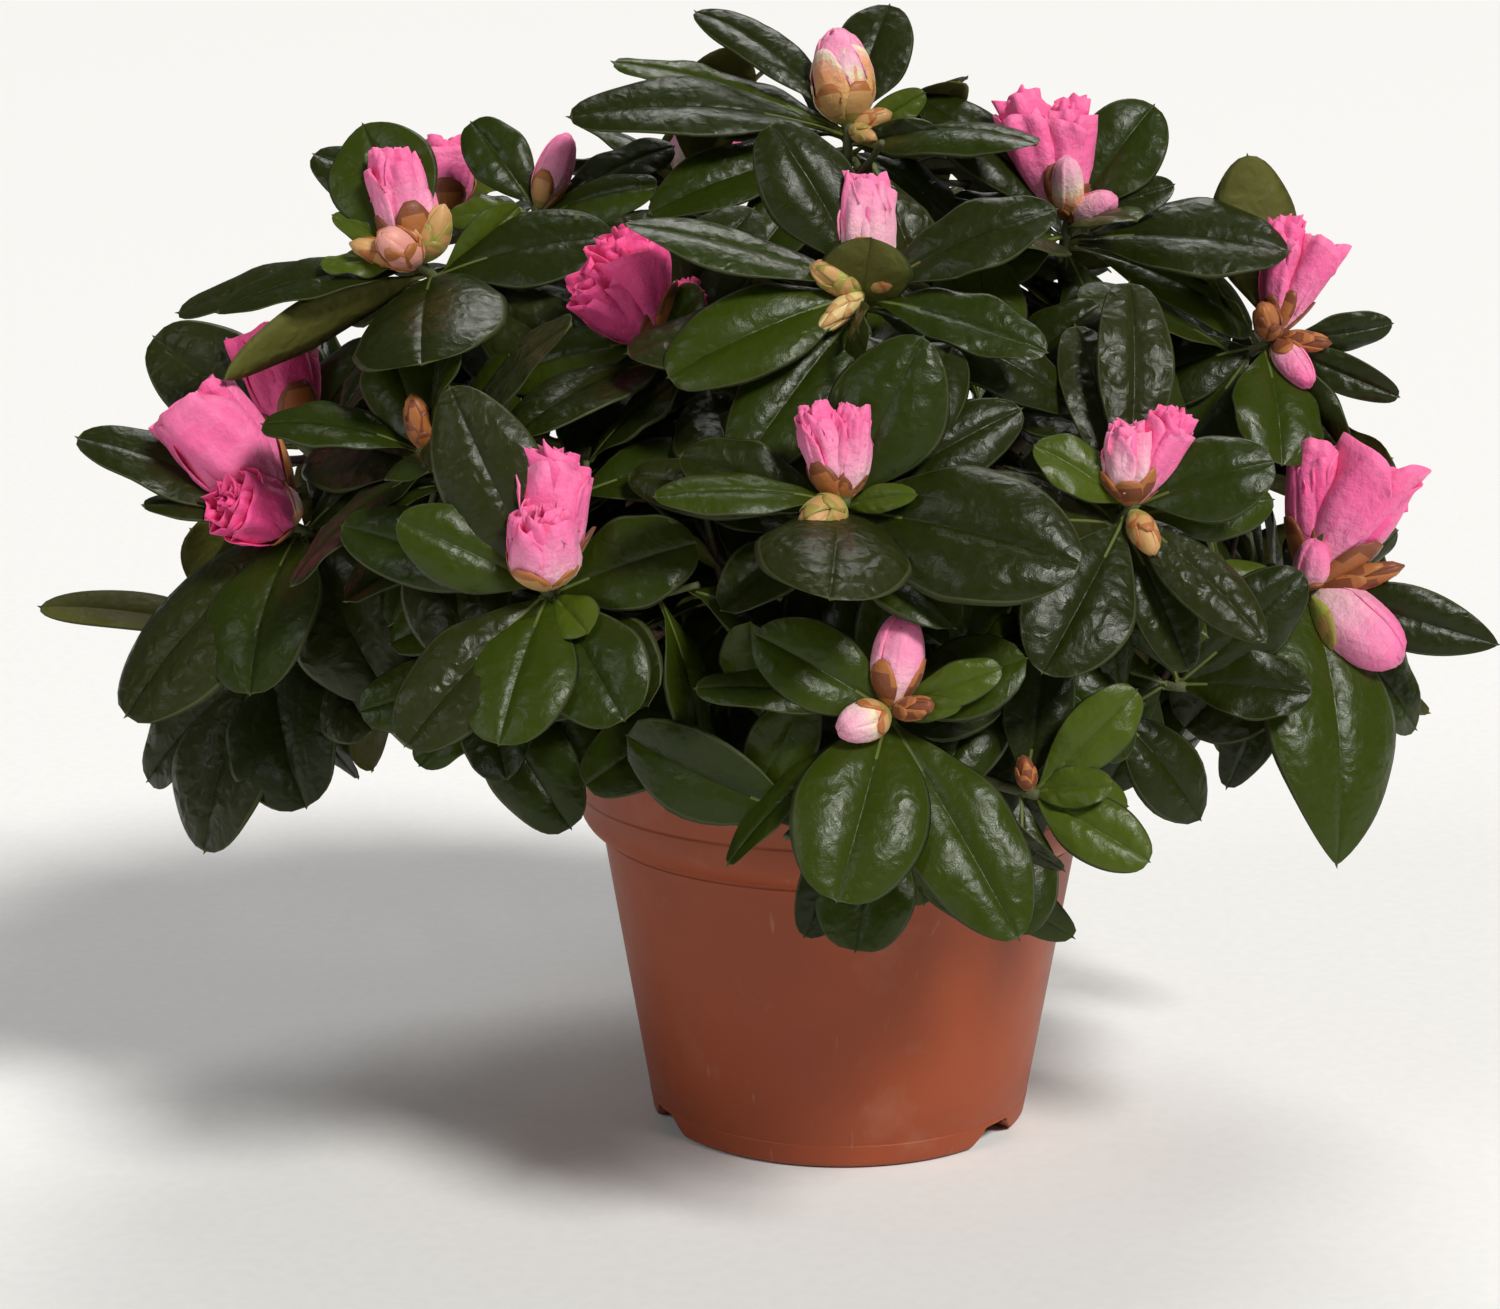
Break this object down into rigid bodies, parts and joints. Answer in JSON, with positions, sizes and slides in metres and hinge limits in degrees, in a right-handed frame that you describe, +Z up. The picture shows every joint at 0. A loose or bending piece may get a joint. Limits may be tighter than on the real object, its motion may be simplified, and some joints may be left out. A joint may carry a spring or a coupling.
{
  "type": "azalea shrub",
  "caption": "Young evergreen azalea in bud, a low dome of leafy shoots with half-open pink blooms, growing from one short stem in a round plastic nursery pot.",
  "frame": {"origin": "centre of the pot's flat underside, where the pot stands", "axes": "+Z up; the side seen in the picture faces -Y; +X is to its right and is the crown's longest extent"},
  "size_m": [0.3195, 0.2743, 0.2517],
  "materials": {
    "pot": "moulded terracotta-brown plastic, satin, lightly scuffed",
    "soil": "damp dark peat, crumbly",
    "bark": "grey-brown bark with fine lengthwise ridges",
    "foliage": "dark glossy evergreen leaves with pink and cream blooms and brown bud scales"
  },
  "bodies": {
    "root": {"pot": "pot", "soil": "soil", "trunk": "bark", "bough_front": "bark", "bough_left": "bark", "bough_right": "bark", "bough_back_left": "bark", "bough_back_right": "bark", "bough_back": "bark", "bough_top": "bark", "branch_upper_front": "bark", "branch_low_front": "bark", "branch_upper_left": "bark", "branch_front_left": "bark", "branch_upper_right": "bark", "branch_front_right": "bark", "branch_high_left": "bark", "branch_high_right": "bark", "branch_low_back": "bark", "branch_high_back": "bark", "foliage_top": "foliage", "foliage_upper_left": "foliage", "foliage_upper_front": "foliage", "foliage_upper_right": "foliage", "foliage_front": "foliage", "foliage_front_left": "foliage", "foliage_left": "foliage", "foliage_low_front": "foliage", "foliage_front_right": "foliage", "foliage_right": "foliage", "foliage_back_right": "foliage", "foliage_high_right": "foliage", "foliage_back": "foliage", "foliage_low_back": "foliage", "foliage_back_left": "foliage", "foliage_high_left": "foliage", "foliage_high_back": "foliage"}
  },
  "joints": []
}
